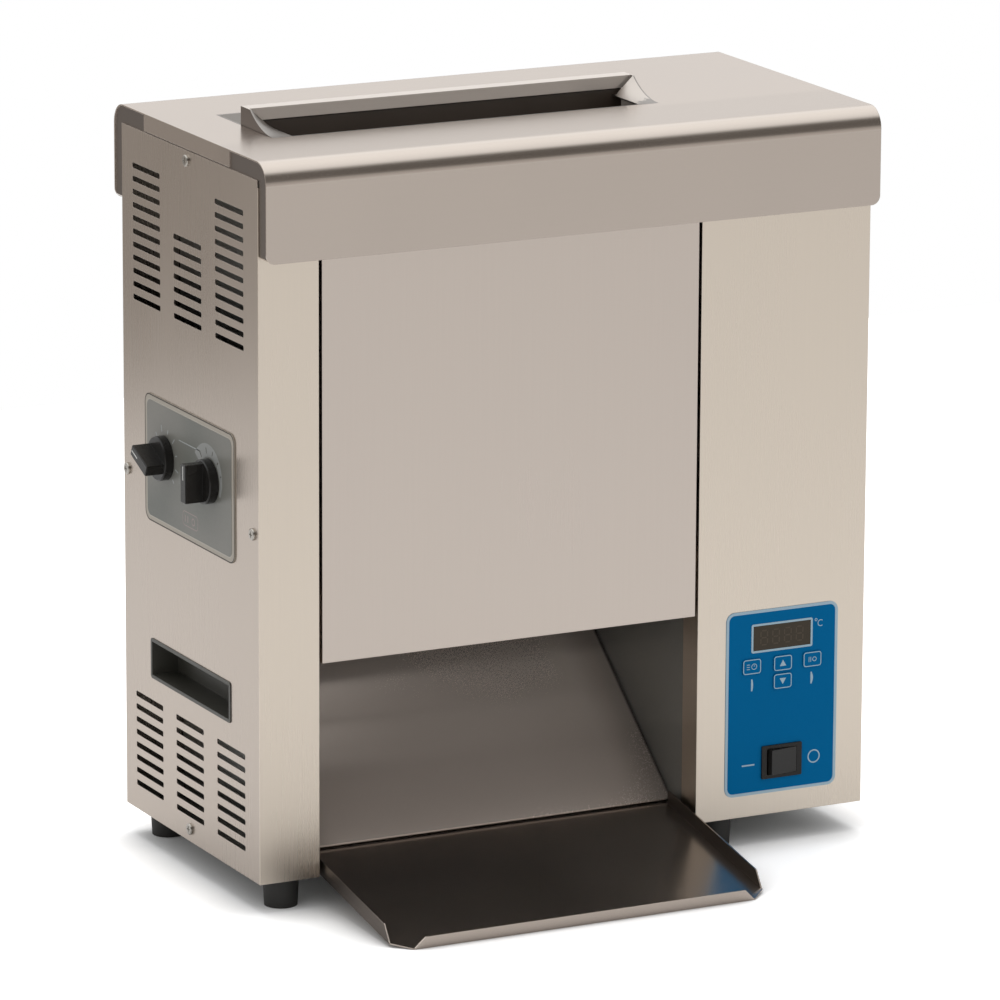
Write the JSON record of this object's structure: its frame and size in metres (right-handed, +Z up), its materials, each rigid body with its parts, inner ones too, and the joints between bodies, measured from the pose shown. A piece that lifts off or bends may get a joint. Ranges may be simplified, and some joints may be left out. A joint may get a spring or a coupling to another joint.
{
  "type": "vertical contact toaster",
  "caption": "Countertop vertical contact toaster: two top bun slots, heated platen between driven belts, compression knobs, swing-up front cover, chute and landing tray.",
  "frame": {"origin": "centre of the overall footprint, on the plane the feet stand on", "axes": "+Z up, +Y from the landing tray at the front to the rear panel, +X to the right seen from the front, towards the control console"},
  "size_m": [0.5994, 0.4318, 0.654],
  "materials": {
    "stainless": "warm grey brushed stainless sheet",
    "inner_steel": "plain mill sheet inside the casing",
    "platen_alloy": "cast, dull",
    "element_sheath": "heat-darkened",
    "release_cloth": "non-stick coated glass cloth, dark",
    "belt_silicone": "matt dark silicone",
    "roller_alloy": "turned",
    "foot_rubber": "matt",
    "black_plastic": "fine satin",
    "knob_plastic": "gloss",
    "plate_film": "printed satin film",
    "plate_border": "satin beige",
    "label_film": "satin blue film",
    "pale_print": "pale printed frame on the film",
    "display_film": "smoked",
    "gear_steel": "hobbed",
    "bearing_bronze": "sintered",
    "motor_paint": "satin black",
    "board": "glass-fibre board",
    "terminal_ceramic": "matt",
    "fastener": "bright plated"
  },
  "bodies": {
    "casing": {"base_pan": "inner_steel", "left_side_panel": "stainless", "right_side_panel": "stainless", "rear_panel": "stainless", "front_left_panel": "stainless", "front_right_panel": "stainless", "inner_left_wall": "inner_steel", "inner_right_wall": "inner_steel", "top_cover": "stainless", "bun_chute": "stainless", "rubber_feet": "foot_rubber", "foot_screws": "fastener", "left_hand_grip": "black_plastic", "right_hand_grip": "black_plastic", "compression_plate": "plate_border", "compression_overlay": "plate_film", "platen": "platen_alloy", "heating_elements": "element_sheath", "platen_brackets": "inner_steel", "sheet_hanger": "roller_alloy", "release_sheet": "release_cloth", "temperature_probe": "element_sheath", "drive_bearings": "bearing_bronze", "gearmotor": "motor_paint", "control_label": "label_film", "display_window": "display_film", "display_bezel": "pale_print", "control_board": "board", "power_switch": "black_plastic", "fan_housing": "black_plastic", "relay_board": "board", "terminal_block": "terminal_ceramic", "limit_thermostat": "element_sheath", "cord_gland": "black_plastic", "panel_screws": "fastener"},
    "bun_feeder": {"bun_feeder": "stainless"},
    "front_cover": {"front_cover": "stainless", "cover_hinge_pins": "fastener"},
    "landing_tray": {"landing_tray": "stainless"},
    "front_knob": {"front_knob": "knob_plastic", "front_cam_shaft": "gear_steel"},
    "rear_knob": {"rear_knob": "knob_plastic", "rear_cam_shaft": "gear_steel"},
    "front_drive": {"front_drive_roller": "roller_alloy", "front_drive_gear": "gear_steel"},
    "rear_drive": {"rear_drive_roller": "roller_alloy", "rear_drive_gear": "gear_steel"},
    "front_conveyor": {"front_conveyor_frame": "inner_steel", "front_belt": "belt_silicone"},
    "rear_conveyor": {"rear_conveyor_frame": "inner_steel", "rear_belt": "belt_silicone"},
    "front_idler": {"front_idler_roller": "roller_alloy"},
    "rear_idler": {"rear_idler_roller": "roller_alloy"},
    "motor": {"motor_pinion": "gear_steel"},
    "fan": {"fan_impeller": "black_plastic"},
    "rocker": {"switch_rocker": "knob_plastic"},
    "left_key": {"key_left": "label_film"},
    "up_key": {"key_up": "label_film"},
    "down_key": {"key_down": "label_film"},
    "right_key": {"key_right": "label_film"}
  },
  "joints": [
    {"name": "feeder_lift", "type": "slide", "parent": "casing", "child": "bun_feeder", "axis": [0, 0, 1], "range_m": [0, 0.06]},
    {"name": "cover_swing", "type": "hinge", "parent": "casing", "child": "front_cover", "pos_m": [-0.0418, -0.06509, 0.566], "axis": [-1, 0, 0], "range_deg": [0, 44]},
    {"name": "tray_slide", "type": "slide", "parent": "casing", "child": "landing_tray", "axis": [0, -1, 0], "range_m": [0, 0.06]},
    {"name": "front_knob_turn", "type": "hinge", "parent": "casing", "child": "front_knob", "pos_m": [-0.28405, 0.02161, 0.3508], "axis": [1, 0, 0], "range_deg": [0, 180]},
    {"name": "rear_knob_turn", "type": "hinge", "parent": "casing", "child": "rear_knob", "pos_m": [-0.28405, 0.11221, 0.3508], "axis": [1, 0, 0], "range_deg": [0, 180]},
    {"name": "front_conveyor_tilt", "type": "hinge", "parent": "casing", "child": "front_conveyor", "pos_m": [-0.0418, 0.01691, 0.266], "axis": [-1, 0, 0], "range_deg": [0, 1.2]},
    {"name": "rear_conveyor_tilt", "type": "hinge", "parent": "casing", "child": "rear_conveyor", "pos_m": [-0.0418, 0.11691, 0.266], "axis": [1, 0, 0], "range_deg": [0, 1.2]},
    {"name": "front_drive_spin", "type": "hinge", "parent": "casing", "child": "front_drive", "pos_m": [-0.0418, 0.01691, 0.266], "axis": [1, 0, 0], "continuous": true},
    {"name": "rear_drive_spin", "type": "hinge", "parent": "casing", "child": "rear_drive", "pos_m": [-0.0418, 0.11691, 0.266], "axis": [1, 0, 0], "continuous": true},
    {"name": "motor_spin", "type": "hinge", "parent": "casing", "child": "motor", "pos_m": [0.18095, 0.03777, 0.2018], "axis": [1, 0, 0], "continuous": true},
    {"name": "front_idler_spin", "type": "hinge", "parent": "front_conveyor", "child": "front_idler", "pos_m": [-0.0418, 0.01691, 0.571], "axis": [1, 0, 0], "continuous": true},
    {"name": "rear_idler_spin", "type": "hinge", "parent": "rear_conveyor", "child": "rear_idler", "pos_m": [-0.0418, 0.11691, 0.571], "axis": [1, 0, 0], "continuous": true},
    {"name": "fan_spin", "type": "hinge", "parent": "casing", "child": "fan", "pos_m": [0.21795, 0.18691, 0.356], "axis": [0, 1, 0], "continuous": true},
    {"name": "rocker_tilt", "type": "hinge", "parent": "casing", "child": "rocker", "pos_m": [0.2183, -0.06809, 0.07265], "axis": [0, 0, -1], "range_deg": [0, 16]},
    {"name": "left_key_press", "type": "slide", "parent": "casing", "child": "left_key", "axis": [0, 1, 0], "range_m": [0, 0.0004], "stiffness_N_per_m": 1000, "springref_m": -0.0005},
    {"name": "up_key_press", "type": "slide", "parent": "casing", "child": "up_key", "axis": [0, 1, 0], "range_m": [0, 0.0004], "stiffness_N_per_m": 1000, "springref_m": -0.0005},
    {"name": "down_key_press", "type": "slide", "parent": "casing", "child": "down_key", "axis": [0, 1, 0], "range_m": [0, 0.0004], "stiffness_N_per_m": 1000, "springref_m": -0.0005},
    {"name": "right_key_press", "type": "slide", "parent": "casing", "child": "right_key", "axis": [0, 1, 0], "range_m": [0, 0.0004], "stiffness_N_per_m": 1000, "springref_m": -0.0005}
  ],
  "couplings": [
    {"joint": "front_knob_turn", "follows": "front_conveyor_tilt", "ratio": 149.9},
    {"joint": "rear_knob_turn", "follows": "rear_conveyor_tilt", "ratio": 149.9},
    {"joint": "rear_drive_spin", "follows": "front_drive_spin", "ratio": -1},
    {"joint": "motor_spin", "follows": "front_drive_spin", "ratio": -2.8571},
    {"joint": "front_idler_spin", "follows": "front_drive_spin", "ratio": 1},
    {"joint": "rear_idler_spin", "follows": "front_drive_spin", "ratio": -1}
  ]
}
